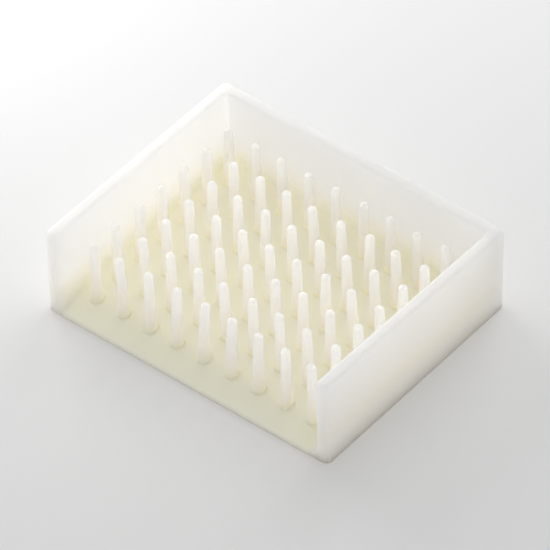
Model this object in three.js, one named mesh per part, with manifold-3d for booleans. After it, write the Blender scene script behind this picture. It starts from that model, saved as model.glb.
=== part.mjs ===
// A silicone soap dish: a shallow tray with three walls and an open front, and a field of tapered pins with
// round tips over its floor. Water runs between the pins and down a short ramp to the front edge.
// Millimetres, +Z up. +X is the right-hand end seen from the open front, -Y is the open front, and the origin
// is the middle of the underside.
//
// The dish is one soft moulding. Its floor with the pins and its three walls are separate solids that meet
// face to face, a little way in from the foot of each wall.

import * as THREE from 'three';
import { mergeVertices } from 'three/addons/utils/BufferGeometryUtils.js';
import Module from 'manifold-3d';

// Tray
const LENGTH = 115;
const DEPTH = 91;
const HEIGHT = 33.5;
const WALL = 4.5;
const FLOOR = 5.6;
const CORNER_RADIUS = 2.4;
const EDGE_RADIUS = 1.2;
const ROOT_FILLET = 3;
const ROOT_STRIP = 1;

// Drain ramp at the open front
const LIP = 1.5;
const RAMP_RUN = 11.5;
const CREASE_DROP = 0.2;

// Pins
const PIN_BASE_DIAMETER = 4.4;
const PIN_TIP_DIAMETER = 3.1;
const PIN_BELOW_RIM = 4.6;
const PIN_PITCH_X = 11.12;
const PIN_PITCH_Y = 11.2;
const PIN_LEAST_MARGIN = 8;

// Facets
const ARC_STEPS = 3;
const PIN_SIDES = 12;
const DOME_STEPS = 3;

// Limits that keep one rounding clear of the next, and the distance at which points count as one
const EDGE_SHARE_OF_WALL = 0.4;
const CORNER_SHARE_OF_EDGE = 1.2;
const WELD = 1e-5;

// Sizes that follow from the ones above
const edgeRadius = Math.min(EDGE_RADIUS, EDGE_SHARE_OF_WALL * WALL);
const cornerRadius = Math.max(CORNER_RADIUS, CORNER_SHARE_OF_EDGE * edgeRadius);
const innerX = LENGTH / 2 - WALL;
const innerY = DEPTH / 2 - WALL;
const frontY = -DEPTH / 2;
const seamX = innerX - ROOT_FILLET - ROOT_STRIP;
const seamY = innerY - ROOT_FILLET - ROOT_STRIP;
const rampAngle = Math.atan2(FLOOR - LIP, RAMP_RUN);
const tipZ = HEIGHT - PIN_BELOW_RIM;
const clear = LENGTH + DEPTH + HEIGHT;

const wasm = await Module();
wasm.setup();

// Solids for joining and cutting

function solidFrom(geometry) {
  geometry.deleteAttribute('normal');
  geometry.deleteAttribute('uv');
  const merged = mergeVertices(geometry, WELD);
  return new wasm.Manifold(new wasm.Mesh({
    numProp: 3,
    vertProperties: new Float32Array(merged.attributes.position.array),
    triVerts: new Uint32Array(merged.index.array),
  }));
}

function geometryFrom(solid) {
  const { vertProperties, triVerts } = solid.getMesh();
  const geometry = new THREE.BufferGeometry();
  geometry.setAttribute('position', new THREE.BufferAttribute(vertProperties, 3));
  geometry.setIndex(new THREE.BufferAttribute(triVerts, 1));
  geometry.computeVertexNormals();
  return geometry;
}

// A closed outline through corners of the form [x, y, radius], each rounded by a tangent arc
function roundedOutline(corners) {
  const shape = new THREE.Shape();
  corners.forEach(([x, y, radius], index) => {
    const [beforeX, beforeY] = corners.at(index - 1);
    const [afterX, afterY] = corners[(index + 1) % corners.length];
    const corner = new THREE.Vector2(x, y);
    const back = new THREE.Vector2(beforeX, beforeY).sub(corner).normalize();
    const ahead = new THREE.Vector2(afterX, afterY).sub(corner).normalize();
    const half = back.angleTo(ahead) / 2;
    const start = back.clone().multiplyScalar(radius / Math.tan(half)).add(corner);
    const end = ahead.clone().multiplyScalar(radius / Math.tan(half)).add(corner);
    const middle = back.clone().add(ahead).normalize().multiplyScalar(radius / Math.sin(half)).add(corner);
    if (index === 0) shape.moveTo(start.x, start.y);
    else shape.lineTo(start.x, start.y);
    if (radius > 0) {
      const from = start.sub(middle).angle();
      const to = end.sub(middle).angle();
      shape.absarc(middle.x, middle.y, radius, from, to, back.cross(ahead) > 0);
    }
  });
  shape.closePath();
  return shape;
}

function extruded(outline, length) {
  return new THREE.ExtrudeGeometry(outline, {
    depth: length,
    bevelEnabled: false,
    curveSegments: ARC_STEPS,
  });
}

// An outline drawn in X and Z, drawn out along Y from backY towards the front
function prismAlongY(outline, backY, length) {
  const axes = new THREE.Matrix4().makeBasis(
    new THREE.Vector3(1, 0, 0), new THREE.Vector3(0, 0, 1), new THREE.Vector3(0, -1, 0));
  return extruded(outline, length).applyMatrix4(axes).translate(0, backY, 0);
}

// An outline drawn in Y and Z, drawn out along X on both sides of the middle
function prismAlongX(outline, length) {
  const axes = new THREE.Matrix4().makeBasis(
    new THREE.Vector3(0, 1, 0), new THREE.Vector3(0, 0, 1), new THREE.Vector3(1, 0, 0));
  return extruded(outline, length).applyMatrix4(axes).translate(-length / 2, 0, 0);
}

function boxBetween(low, high) {
  const size = high.map((value, axis) => value - low[axis]);
  const middle = high.map((value, axis) => (value + low[axis]) / 2);
  return solidFrom(new THREE.BoxGeometry(...size).translate(...middle));
}

// The whole tray

function outerBlock() {
  const plan = roundedOutline([
    [-LENGTH / 2, frontY, cornerRadius],
    [LENGTH / 2, frontY, cornerRadius],
    [LENGTH / 2, DEPTH / 2, cornerRadius],
    [-LENGTH / 2, DEPTH / 2, cornerRadius],
  ]);
  const geometry = new THREE.ExtrudeGeometry(plan, {
    depth: HEIGHT - 2 * edgeRadius,
    bevelThickness: edgeRadius,
    bevelSize: edgeRadius,
    bevelOffset: -edgeRadius,
    bevelSegments: ARC_STEPS,
    curveSegments: ARC_STEPS,
  });
  return solidFrom(geometry.translate(0, 0, edgeRadius));
}

// The space over the level floor: filleted along the foot of each wall, and flared where it rounds the rim
function levelSpace() {
  const across = roundedOutline([
    [-innerX, FLOOR, ROOT_FILLET],
    [innerX, FLOOR, ROOT_FILLET],
    [innerX, HEIGHT, edgeRadius],
    [innerX + edgeRadius, HEIGHT, 0],
    [innerX + edgeRadius, clear, 0],
    [-innerX - edgeRadius, clear, 0],
    [-innerX - edgeRadius, HEIGHT, 0],
    [-innerX, HEIGHT, edgeRadius],
  ]);
  const alongside = roundedOutline([
    [-clear, -clear, 0],
    [0, -clear, 0],
    [0, FLOOR, 0],
    [innerY, FLOOR, ROOT_FILLET],
    [innerY, HEIGHT, edgeRadius],
    [innerY + edgeRadius, HEIGHT, 0],
    [innerY + edgeRadius, 2 * clear, 0],
    [-clear, 2 * clear, 0],
  ]);
  return solidFrom(prismAlongY(across, DEPTH, 2 * DEPTH))
    .intersect(solidFrom(prismAlongX(alongside, 2 * LENGTH)));
}

// The space over one sloping facet of the floor, which passes through the point (y, z)
function slopingSpace(angle, y, z) {
  const across = roundedOutline([
    [-innerX, 0, ROOT_FILLET],
    [innerX, 0, ROOT_FILLET],
    [innerX, HEIGHT, 0],
    [-innerX, HEIGHT, 0],
  ]);
  const geometry = prismAlongY(across, RAMP_RUN, clear);
  return solidFrom(geometry.rotateX(angle).translate(0, y, z));
}

function tray() {
  return outerBlock()
    .subtract(levelSpace())
    .subtract(slopingSpace(rampAngle / 2, frontY + RAMP_RUN, FLOOR - CREASE_DROP))
    .subtract(slopingSpace(rampAngle, frontY, LIP));
}

// Pins

function pinGeometry() {
  const baseRadius = PIN_BASE_DIAMETER / 2;
  const tipRadius = PIN_TIP_DIAMETER / 2;
  const domeZ = tipZ - tipRadius;
  const profile = [
    new THREE.Vector2(0, LIP),
    new THREE.Vector2(baseRadius, LIP),
    new THREE.Vector2(baseRadius, FLOOR),
  ];
  for (let step = 0; step < DOME_STEPS; step += 1) {
    const turn = (Math.PI / 2) * (step / DOME_STEPS);
    profile.push(new THREE.Vector2(tipRadius * Math.cos(turn), domeZ + tipRadius * Math.sin(turn)));
  }
  profile.push(new THREE.Vector2(0, tipZ));
  return new THREE.LatheGeometry(profile, PIN_SIDES).rotateX(Math.PI / 2);
}

// As many places at the pitch as the span takes inside its margins, centred on the span
function pinPlaces(low, high, pitch) {
  const count = Math.floor((high - low - 2 * PIN_LEAST_MARGIN) / pitch) + 1;
  const first = (low + high - (count - 1) * pitch) / 2;
  return Array.from({ length: count }, (_, index) => first + index * pitch);
}

function withPins(floor) {
  let solid = floor;
  for (const y of pinPlaces(frontY, innerY, PIN_PITCH_Y)) {
    for (const x of pinPlaces(-innerX, innerX, PIN_PITCH_X)) {
      solid = solid.add(solidFrom(pinGeometry().translate(x, y, 0)));
    }
  }
  return solid;
}

// The dish, in its four named pieces

const silicone = new THREE.MeshStandardMaterial({ color: '#ecede6', roughness: 0.5, metalness: 0 });
const whole = tray();
const pieces = {
  pin_floor: withPins(whole.intersect(boxBetween([-seamX, -clear, -clear], [seamX, seamY, clear]))),
  left_end_wall: whole.intersect(boxBetween([-clear, -clear, -clear], [-seamX, clear, clear])),
  right_end_wall: whole.intersect(boxBetween([seamX, -clear, -clear], [clear, clear, clear])),
  back_wall: whole.intersect(boxBetween([-seamX, seamY, -clear], [seamX, clear, clear])),
};

const dish = new THREE.Group();
for (const [name, solid] of Object.entries(pieces)) {
  const mesh = new THREE.Mesh(geometryFrom(solid), silicone.clone());
  mesh.name = name;
  dish.add(mesh);
}

export default dish;
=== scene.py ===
"""The looks of a silicone soap dish: one seamless milky moulding on a pale floor, in soft light."""

import math

import bmesh
import bpy
import numpy as np
from mathutils import Matrix, Vector


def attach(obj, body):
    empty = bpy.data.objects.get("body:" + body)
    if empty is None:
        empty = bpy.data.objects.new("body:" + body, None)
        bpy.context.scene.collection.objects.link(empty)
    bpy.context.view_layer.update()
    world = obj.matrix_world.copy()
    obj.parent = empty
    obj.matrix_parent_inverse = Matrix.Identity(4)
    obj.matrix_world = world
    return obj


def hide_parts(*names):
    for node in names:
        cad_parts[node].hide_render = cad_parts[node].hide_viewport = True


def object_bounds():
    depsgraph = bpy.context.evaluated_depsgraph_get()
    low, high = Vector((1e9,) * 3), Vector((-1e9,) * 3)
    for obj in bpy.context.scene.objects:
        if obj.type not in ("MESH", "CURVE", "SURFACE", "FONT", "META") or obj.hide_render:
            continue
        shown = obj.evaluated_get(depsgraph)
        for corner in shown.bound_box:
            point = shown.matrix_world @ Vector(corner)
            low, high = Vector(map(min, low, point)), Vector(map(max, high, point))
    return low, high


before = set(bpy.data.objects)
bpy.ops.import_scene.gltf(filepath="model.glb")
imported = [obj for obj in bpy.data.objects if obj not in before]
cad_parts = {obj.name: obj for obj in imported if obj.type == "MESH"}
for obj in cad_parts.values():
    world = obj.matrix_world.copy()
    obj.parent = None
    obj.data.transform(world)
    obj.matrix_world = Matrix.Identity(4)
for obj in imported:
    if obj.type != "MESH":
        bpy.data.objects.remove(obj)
cad_low, cad_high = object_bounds()

MM = 0.001

# Tray, as in the frame
LENGTH = cad_high.x - cad_low.x
DEPTH = cad_high.y - cad_low.y
HEIGHT = cad_high.z - cad_low.z
WALL = 4.5 * MM
FLOOR = 5.6 * MM
CORNER_RADIUS = 2.4 * MM
EDGE_RADIUS = 1.2 * MM
BASE_RADIUS = 0.25 * MM
INNER_CORNER_RADIUS = 1.0 * MM
ROOT_FILLET = 3 * MM

# Drain ramp at the open front
LIP = 1.5 * MM
LIP_RADIUS = 0.7 * MM
RAMP_RUN = 11.5 * MM
CREST_BLEND = 1.6 * MM

# Pins
PIN_BASE_DIAMETER = 4.4 * MM
PIN_TIP_DIAMETER = 3.1 * MM
PIN_BELOW_RIM = 4.6 * MM
PIN_PITCH_X = 11.12 * MM
PIN_PITCH_Y = 11.2 * MM
PIN_COLUMNS = 9
PIN_ROWS = 7
PIN_FILLET = 0.2 * MM
PIN_FOOT = 3.3 * MM

# Soft parts bend a little: each pin's tip, and the rim of the right-hand wall at its front and back ends
PIN_LEAN = 0.25 * MM
FRONT_ROW_LEAN_MM = (0, -0.7, 0, 0.6, 0.8, 0.7, 0.2, 0, -0.6)
LEAN_SEED = 7
RIGHT_RIM_FRONT_LEAN = -0.5 * MM
RIGHT_RIM_BACK_LEAN = 0.5 * MM

# Mesh, with a margin that keeps its grid off the flat faces
MESH_STEP = 0.5 * MM
MESH_MARGIN = 1.83 * MM
SETTLE_STEPS = 6
SLOPE_STEP = 0.02 * MM
LEAST_STEEPNESS = 0.25
CELL_CORNERS = 8
WELD = 0.001 * MM
KEPT_SHARE = 0.38

# Sizes that follow from the ones above
INNER_X = LENGTH / 2 - WALL
INNER_Y = DEPTH / 2 - WALL
FRONT_Y = -DEPTH / 2
RAMP_ANGLE = math.atan2(FLOOR - LIP, RAMP_RUN)
LIP_TO_EDGE_RISE = 2 * FLOOR
PIN_TOP = HEIGHT - PIN_BELOW_RIM
PIN_FIRST_X = -PIN_PITCH_X * (PIN_COLUMNS - 1) / 2
PIN_FIRST_Y = (FRONT_Y + INNER_Y - PIN_PITCH_Y * (PIN_ROWS - 1)) / 2

# Silicone, milky in the thick floor and clearer in the thin walls and pins. The floor's warm cream is
# partly its own tint and partly painted yellow light
# Reach is how far red, green and blue light travel in it, in millimetres. Clearness is the share of light
# that passes as through glass. The foot of a wall is clearer than the floor, and this runs a little way
# into the floor.
# Where a wall's foot runs into the floor, its whiter colour is partly painted light that lifts the shade at
# the foot.
MILKY_BELOW = 5.5 * MM
CLEAR_ABOVE = 13 * MM
WHITE_ABOVE = 18 * MM
WALL_FOOT_THINNESS = 0.5
WALL_FOOT_RUN = 3.5 * MM
FLOOR_REACH = (2.2, 2.2, 1.8)
WALL_REACH = (45, 44, 40)
FLOOR_CLEARNESS = 0.05
WALL_CLEARNESS = 0.24
# Floor colours: the silicone's own cream with painted yellow light in it
FLOOR_CREAM_AND_PAINTED_GLOW = (0.968, 0.905, 0.74)
FLOOR_CLOUD_CREAM_AND_PAINTED_GLOW = (0.974, 0.915, 0.78)
WALL_COLOUR = (0.984, 0.987, 0.982)
WALL_CLOUD_COLOUR = (0.991, 0.993, 0.988)
SILICONE_IOR = 1.41
LEAST_ROUGHNESS = 0.55
MOST_ROUGHNESS = 0.68
GRAIN_STRENGTH = 0.12
GRAIN_DEPTH = 0.1 * MM

# Grains of each noise in a metre, its finer layers, and the range in which nearly all values of a noise lie
CLOUD_GRAINS = 60
CLOUD_LAYERS = 2
GLOSS_GRAINS = 400
GLOSS_LAYERS = 3
SURFACE_GRAINS = 1800
SURFACE_LAYERS = 3
NOISE_MIDDLE = (0.3, 0.7)

# Stage and light
TABLE_HALF = 6
TABLE_GAP = 0.05 * MM
TABLE_COLOUR = (0.80, 0.80, 0.80)
TABLE_ROUGHNESS = 0.85
TABLE_GRAIN = (1.3 * MM, 0.6 * MM, 1)
TABLE_GRAIN_STRENGTH = 0.25
TABLE_GRAIN_DEPTH = 0.1 * MM
LAMP_AIM = (-0.03, 0.03, 0)
LEFT_LAMP_PLACE = (-0.47, 0.16, 0.24)
LEFT_LAMP_SIZE = 0.35
LEFT_LAMP_WATTS = 0.95
BACK_LAMP_PLACE = (-0.10, 0.50, 0.35)
BACK_LAMP_SIZE = 0.35
BACK_LAMP_WATTS = 0.85
THROUGH_LAMP_PLACE = (-0.26, 0.05, 0.14)
THROUGH_LAMP_SIZE = 0.16
THROUGH_LAMP_WATTS = 0.14
SKY_STRENGTH = 0.63

# Bounces of light inside the tray and through its walls
ALL_BOUNCES = 32
MATT_BOUNCES = 12
CLEAR_BOUNCES = 24

# Camera, fitted to the photograph's straight edges
VIEW_AZIMUTH = math.radians(40.06)
VIEW_ELEVATION = math.radians(43.95)
VIEW_ROLL = math.radians(-1.58)
VIEW_DISTANCE = 2.0
VIEW_OFFSET_RIGHT = 0.39 * MM
VIEW_OFFSET_UP = -10.12 * MM
VIEW_FAR_END = 20
FOCAL_PIXELS = 6245
IMAGE_PIXELS = 550
SENSOR = 36


# The moulding as a distance: below zero inside it, above zero outside

def met(a, b, radius):
    """Inside both shapes, with the edge between them rounded."""
    corner = np.hypot(np.maximum(a + radius, 0), np.maximum(b + radius, 0))
    return np.minimum(np.maximum(a, b), -radius) + corner


def joined(a, b, radius):
    """Inside either shape, with a fillet between them."""
    corner = np.hypot(np.maximum(radius - a, 0), np.maximum(radius - b, 0))
    return np.maximum(np.minimum(a, b), radius) - corner


def blended(a, b, reach):
    """Inside either shape, where the two lie at a slight angle."""
    overlap = np.maximum(reach - np.abs(a - b), 0)
    return np.minimum(a, b) - overlap * overlap / (4 * reach)


def eased(t):
    t = np.clip(t, 0, 1)
    return t * t * (3 - 2 * t)


def block_distance(x, y, z):
    plan = met(np.abs(x) - LENGTH / 2, np.abs(y) - DEPTH / 2, CORNER_RADIUS)
    return met(met(plan, z - HEIGHT, EDGE_RADIUS), -z, BASE_RADIUS)


def space_distance(x, y, z):
    """The open space inside the walls, above the floor and its ramp."""
    walls = met(np.abs(x) - INNER_X, y - INNER_Y, INNER_CORNER_RADIUS)
    ramp = (LIP - z) * math.cos(RAMP_ANGLE) + (y - FRONT_Y) * math.sin(RAMP_ANGLE)
    floor = blended(FLOOR - z, ramp, CREST_BLEND)
    return met(walls, floor, ROOT_FILLET)


def tray_distance(x, y, z):
    """The block without its space. The rounding between them grows from the lip's to the rim's."""
    above_lip = eased((z - LIP) / LIP_TO_EDGE_RISE)
    edge = LIP_RADIUS + (EDGE_RADIUS - LIP_RADIUS) * above_lip
    return met(block_distance(x, y, z), -space_distance(x, y, z), edge)


def pin_leans():
    """How far each pin's tip leans, by row and column, in X and Y."""
    chance = np.random.default_rng(LEAN_SEED)
    leans = chance.normal(0, PIN_LEAN, (PIN_ROWS, PIN_COLUMNS, 2))
    to_the_right = np.array((math.cos(VIEW_AZIMUTH), math.sin(VIEW_AZIMUTH)))
    leans[0] = np.outer(FRONT_ROW_LEAN_MM, to_the_right) * MM
    return leans


def pin_distance(x, y, z, leans):
    column = np.clip(np.round((x - PIN_FIRST_X) / PIN_PITCH_X), 0, PIN_COLUMNS - 1).astype(int)
    row = np.clip(np.round((y - PIN_FIRST_Y) / PIN_PITCH_Y), 0, PIN_ROWS - 1).astype(int)
    dome_z = PIN_TOP - PIN_TIP_DIAMETER / 2
    axis_z = np.clip(z, PIN_FOOT, dome_z)
    share = (axis_z - PIN_FOOT) / (dome_z - PIN_FOOT)
    lean = leans[row, column] * (share * share)[..., None]
    from_axis_x = x - PIN_FIRST_X - column * PIN_PITCH_X - lean[..., 0]
    from_axis_y = y - PIN_FIRST_Y - row * PIN_PITCH_Y - lean[..., 1]
    radius = (PIN_BASE_DIAMETER + (PIN_TIP_DIAMETER - PIN_BASE_DIAMETER) * share) / 2
    return np.sqrt(from_axis_x**2 + from_axis_y**2 + (z - axis_z) ** 2) - radius


def dish_distance(points, leans):
    x, y, z = np.moveaxis(points, -1, 0)
    along = np.clip((y - FRONT_Y) / DEPTH, 0, 1)
    rim_lean = RIGHT_RIM_FRONT_LEAN + (RIGHT_RIM_BACK_LEAN - RIGHT_RIM_FRONT_LEAN) * along
    near_right = eased(x / INNER_X)
    upright_x = x - rim_lean * near_right * eased(z / HEIGHT)
    return joined(tray_distance(upright_x, y, z), pin_distance(x, y, z, leans), PIN_FILLET)


# The moulding as a mesh

def settled(points, distance):
    """The points, moved along the slope of the distance until they lie on the surface."""
    for _ in range(SETTLE_STEPS):
        value = distance(points)
        slope = np.empty_like(points)
        for axis in range(3):
            ahead = points.copy()
            ahead[:, axis] += SLOPE_STEP
            slope[:, axis] = (distance(ahead) - value) / SLOPE_STEP
        steepness = np.maximum((slope * slope).sum(axis=1), LEAST_STEEPNESS)
        points = points - slope * (value / steepness)[:, None]
    return points


def surface_net(distance, low, high, step):
    """A closed mesh of quads over the zero surface, with a point for each grid cell that it crosses."""
    axes = [np.arange(start, end + step, step) for start, end in zip(low, high)]
    grid = np.stack(np.meshgrid(*axes, indexing="ij"), axis=-1)
    inside = distance(grid) < 0
    cells = tuple(size - 1 for size in inside.shape)
    corners = sum(
        inside[i:i + cells[0], j:j + cells[1], k:k + cells[2]].astype(np.int8)
        for i in (0, 1) for j in (0, 1) for k in (0, 1)
    )
    crossed = (corners > 0) & (corners < CELL_CORNERS)
    number = np.full(cells, -1)
    number[crossed] = np.arange(crossed.sum())
    centres = np.argwhere(crossed) * step + np.array(low) + step / 2
    quads = []
    for axis in range(3):
        ahead = np.take(inside, range(1, inside.shape[axis]), axis=axis)
        behind = np.take(inside, range(inside.shape[axis] - 1), axis=axis)
        places = np.argwhere(ahead != behind)
        leaving = behind[tuple(places.T)]
        side = np.eye(3, dtype=int)[(axis + 1) % 3]
        other = np.eye(3, dtype=int)[(axis + 2) % 3]
        around = [places - side - other, places - other, places, places - side]
        ring = np.stack([number[tuple(place.T)] for place in around], axis=1)
        ring[~leaving] = ring[~leaving][:, ::-1]
        quads.append(ring)
    return settled(centres, distance), np.concatenate(quads)


def moulding():
    """The dish in one closed mesh, with fewer faces where it is flat."""
    leans = pin_leans()
    low = np.array(cad_low) - MESH_MARGIN
    high = np.array(cad_high) + MESH_MARGIN
    points, quads = surface_net(lambda places: dish_distance(places, leans), low, high, MESH_STEP)
    mesh = bpy.data.meshes.new("silicone_moulding")
    mesh.from_pydata(points.tolist(), [], quads.tolist())
    welded = bmesh.new()
    welded.from_mesh(mesh)
    bmesh.ops.remove_doubles(welded, verts=welded.verts, dist=WELD)
    welded.to_mesh(mesh)
    welded.free()
    mesh.shade_smooth()
    piece = bpy.data.objects.new("silicone_moulding", mesh)
    bpy.context.scene.collection.objects.link(piece)
    thinned = piece.modifiers.new("thinned", "DECIMATE")
    thinned.ratio = KEPT_SHARE
    return piece


# Materials

def new_material(name):
    material = bpy.data.materials.new(name)
    material.use_nodes = True
    nodes = material.node_tree.nodes
    return material, nodes, material.node_tree.links, nodes["Principled BSDF"]


def noise(nodes, links, grains, layers):
    """Noise in the object's own metres."""
    place = nodes.new("ShaderNodeTexCoord")
    texture = nodes.new("ShaderNodeTexNoise")
    texture.inputs["Scale"].default_value = grains
    texture.inputs["Detail"].default_value = layers
    links.new(place.outputs["Object"], texture.inputs["Vector"])
    return texture.outputs["Fac"]


def ranged(nodes, links, value, source, target, way="LINEAR"):
    spread = nodes.new("ShaderNodeMapRange")
    spread.interpolation_type = way
    spread.inputs["From Min"].default_value = source[0]
    spread.inputs["From Max"].default_value = source[1]
    spread.inputs["To Min"].default_value = target[0]
    spread.inputs["To Max"].default_value = target[1]
    links.new(value, spread.inputs["Value"])
    return spread.outputs["Result"]


def worked_out(nodes, links, operation, *values):
    maths = nodes.new("ShaderNodeMath")
    maths.operation = operation
    for value, socket in zip(values, maths.inputs):
        links.new(value, socket)
    return maths.outputs["Value"]


def thinness(nodes, links, top):
    """From 0 over the thick floor to 1 at the height top. The walls' feet keep a share of it, which runs a
    little into the floor; in the colour, that share is partly painted light lifting the shade at the wall's
    foot.
    """
    place = nodes.new("ShaderNodeTexCoord")
    parts = nodes.new("ShaderNodeSeparateXYZ")
    links.new(place.outputs["Object"], parts.inputs["Vector"])
    sideways = worked_out(nodes, links, "ABSOLUTE", parts.outputs["X"])
    upward = ranged(nodes, links, parts.outputs["Z"], (MILKY_BELOW, top), (0, 1), "SMOOTHSTEP")
    end_foot = (INNER_X - WALL_FOOT_RUN, LENGTH / 2)
    back_foot = (INNER_Y - WALL_FOOT_RUN, DEPTH / 2)
    endward = ranged(nodes, links, sideways, end_foot, (0, WALL_FOOT_THINNESS))
    backward = ranged(nodes, links, parts.outputs["Y"], back_foot, (0, WALL_FOOT_THINNESS))
    outward = worked_out(nodes, links, "MAXIMUM", endward, backward)
    return worked_out(nodes, links, "MAXIMUM", upward, outward)


def mixed(nodes, links, share, low, high):
    blend = nodes.new("ShaderNodeMix")
    blend.data_type = "RGBA"
    links.new(share, blend.inputs["Factor"])
    for colour, socket in ((low, blend.inputs["A"]), (high, blend.inputs["B"])):
        if isinstance(colour, tuple):
            socket.default_value = (*colour, 1)
        else:
            links.new(colour, socket)
    return blend.outputs["Result"]


def grained(nodes, links, shader, height, strength, depth):
    bump = nodes.new("ShaderNodeBump")
    bump.inputs["Strength"].default_value = strength
    bump.inputs["Distance"].default_value = depth
    links.new(height, bump.inputs["Height"])
    links.new(bump.outputs["Normal"], shader.inputs["Normal"])


def silicone():
    """Frosted silicone with faint clouding, an uneven gloss and a fine grain."""
    material, nodes, links, shader = new_material("silicone")
    shader.inputs["Subsurface Weight"].default_value = 1
    shader.inputs["Subsurface Scale"].default_value = MM
    shader.inputs["IOR"].default_value = SILICONE_IOR
    thin = thinness(nodes, links, CLEAR_ABOVE)
    reach = mixed(nodes, links, thin, FLOOR_REACH, WALL_REACH)
    links.new(reach, shader.inputs["Subsurface Radius"])
    clearness = ranged(nodes, links, thin, (0, 1), (FLOOR_CLEARNESS, WALL_CLEARNESS))
    links.new(clearness, shader.inputs["Transmission Weight"])
    cloud = noise(nodes, links, CLOUD_GRAINS, CLOUD_LAYERS)
    floor_cream_and_painted_glow = mixed(nodes, links, cloud, FLOOR_CREAM_AND_PAINTED_GLOW, FLOOR_CLOUD_CREAM_AND_PAINTED_GLOW)
    wall_colour = mixed(nodes, links, cloud, WALL_COLOUR, WALL_CLOUD_COLOUR)
    # Whiter up the walls; at the walls' feet the whiter colour is partly painted light lifting the shade
    # there
    white_up_walls_and_painted_foot_light = thinness(nodes, links, WHITE_ABOVE)
    # The floor's colour, partly painted yellow light, fades upwards into the walls' white
    links.new(mixed(nodes, links, white_up_walls_and_painted_foot_light, floor_cream_and_painted_glow, wall_colour), shader.inputs["Base Color"])
    gloss = noise(nodes, links, GLOSS_GRAINS, GLOSS_LAYERS)
    roughness = ranged(nodes, links, gloss, NOISE_MIDDLE, (LEAST_ROUGHNESS, MOST_ROUGHNESS))
    links.new(roughness, shader.inputs["Roughness"])
    grain = noise(nodes, links, SURFACE_GRAINS, SURFACE_LAYERS)
    grained(nodes, links, shader, grain, GRAIN_STRENGTH, GRAIN_DEPTH)
    return material


def pale_matt():
    """A pale table with a fine grain, drawn out along the level of the picture."""
    material, nodes, links, shader = new_material("pale_table")
    shader.inputs["Base Color"].default_value = (*TABLE_COLOUR, 1)
    shader.inputs["Roughness"].default_value = TABLE_ROUGHNESS
    place = nodes.new("ShaderNodeTexCoord")
    turn = nodes.new("ShaderNodeMapping")
    turn.vector_type = "TEXTURE"
    turn.inputs["Rotation"].default_value = (0, 0, VIEW_AZIMUTH)
    turn.inputs["Scale"].default_value = TABLE_GRAIN
    texture = nodes.new("ShaderNodeTexNoise")
    texture.inputs["Scale"].default_value = 1
    links.new(place.outputs["Object"], turn.inputs["Vector"])
    links.new(turn.outputs["Vector"], texture.inputs["Vector"])
    grained(nodes, links, shader, texture.outputs["Fac"], TABLE_GRAIN_STRENGTH, TABLE_GRAIN_DEPTH)
    return material


# Stage, light and camera

def table():
    low, high, z = -TABLE_HALF, TABLE_HALF, -TABLE_GAP
    mesh = bpy.data.meshes.new("table")
    mesh.from_pydata([(low, low, z), (high, low, z), (high, high, z), (low, high, z)], [], [(0, 1, 2, 3)])
    mesh.materials.append(pale_matt())
    stage = bpy.data.objects.new("table", mesh)
    bpy.context.scene.collection.objects.link(stage)
    return stage


def lamp(name, place, size, watts):
    data = bpy.data.lights.new(name, "AREA")
    data.size = size
    data.energy = watts
    panel = bpy.data.objects.new(name, data)
    panel.location = place
    panel.rotation_euler = (Vector(LAMP_AIM) - Vector(place)).to_track_quat("-Z", "Y").to_euler()
    bpy.context.scene.collection.objects.link(panel)
    return panel


def lights(stage):
    """Two soft lamps, a bright sky, and a weak lamp for the light that passes through the thin walls."""
    lamp("left_lamp", LEFT_LAMP_PLACE, LEFT_LAMP_SIZE, LEFT_LAMP_WATTS)
    lamp("back_lamp", BACK_LAMP_PLACE, BACK_LAMP_SIZE, BACK_LAMP_WATTS)
    through = lamp("through_lamp", THROUGH_LAMP_PLACE, THROUGH_LAMP_SIZE, THROUGH_LAMP_WATTS)
    shading = bpy.data.collections.new("shading")
    shading.objects.link(stage)
    through.light_linking.blocker_collection = shading
    world = bpy.data.worlds.new("sky")
    world.use_nodes = True
    sky = world.node_tree.nodes["Background"]
    sky.inputs["Color"].default_value = (1, 1, 1, 1)
    sky.inputs["Strength"].default_value = SKY_STRENGTH
    scene = bpy.context.scene
    scene.world = world
    scene.view_settings.view_transform = "Standard"
    scene.cycles.max_bounces = ALL_BOUNCES
    scene.cycles.diffuse_bounces = MATT_BOUNCES
    scene.cycles.transmission_bounces = CLEAR_BOUNCES


def camera():
    back = Vector((
        math.sin(VIEW_AZIMUTH) * math.cos(VIEW_ELEVATION),
        -math.cos(VIEW_AZIMUTH) * math.cos(VIEW_ELEVATION),
        math.sin(VIEW_ELEVATION),
    ))
    level_right = Vector((math.cos(VIEW_AZIMUTH), math.sin(VIEW_AZIMUTH), 0))
    level_up = back.cross(level_right)
    right = math.cos(VIEW_ROLL) * level_right + math.sin(VIEW_ROLL) * level_up
    up = -math.sin(VIEW_ROLL) * level_right + math.cos(VIEW_ROLL) * level_up
    data = bpy.data.cameras.new("camera")
    data.sensor_width = SENSOR
    data.lens = FOCAL_PIXELS * SENSOR / IMAGE_PIXELS
    data.clip_end = VIEW_FAR_END
    eye = bpy.data.objects.new("camera", data)
    place = back * VIEW_DISTANCE - right * VIEW_OFFSET_RIGHT - up * VIEW_OFFSET_UP
    eye.matrix_world = Matrix.Translation(place) @ Matrix((right, up, back)).transposed().to_4x4()
    bpy.context.scene.collection.objects.link(eye)
    bpy.context.scene.camera = eye


camera()
lights(table())

dish = moulding()
dish.data.materials.append(silicone())
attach(dish, "root")
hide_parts("pin_floor", "left_end_wall", "right_end_wall", "back_wall")
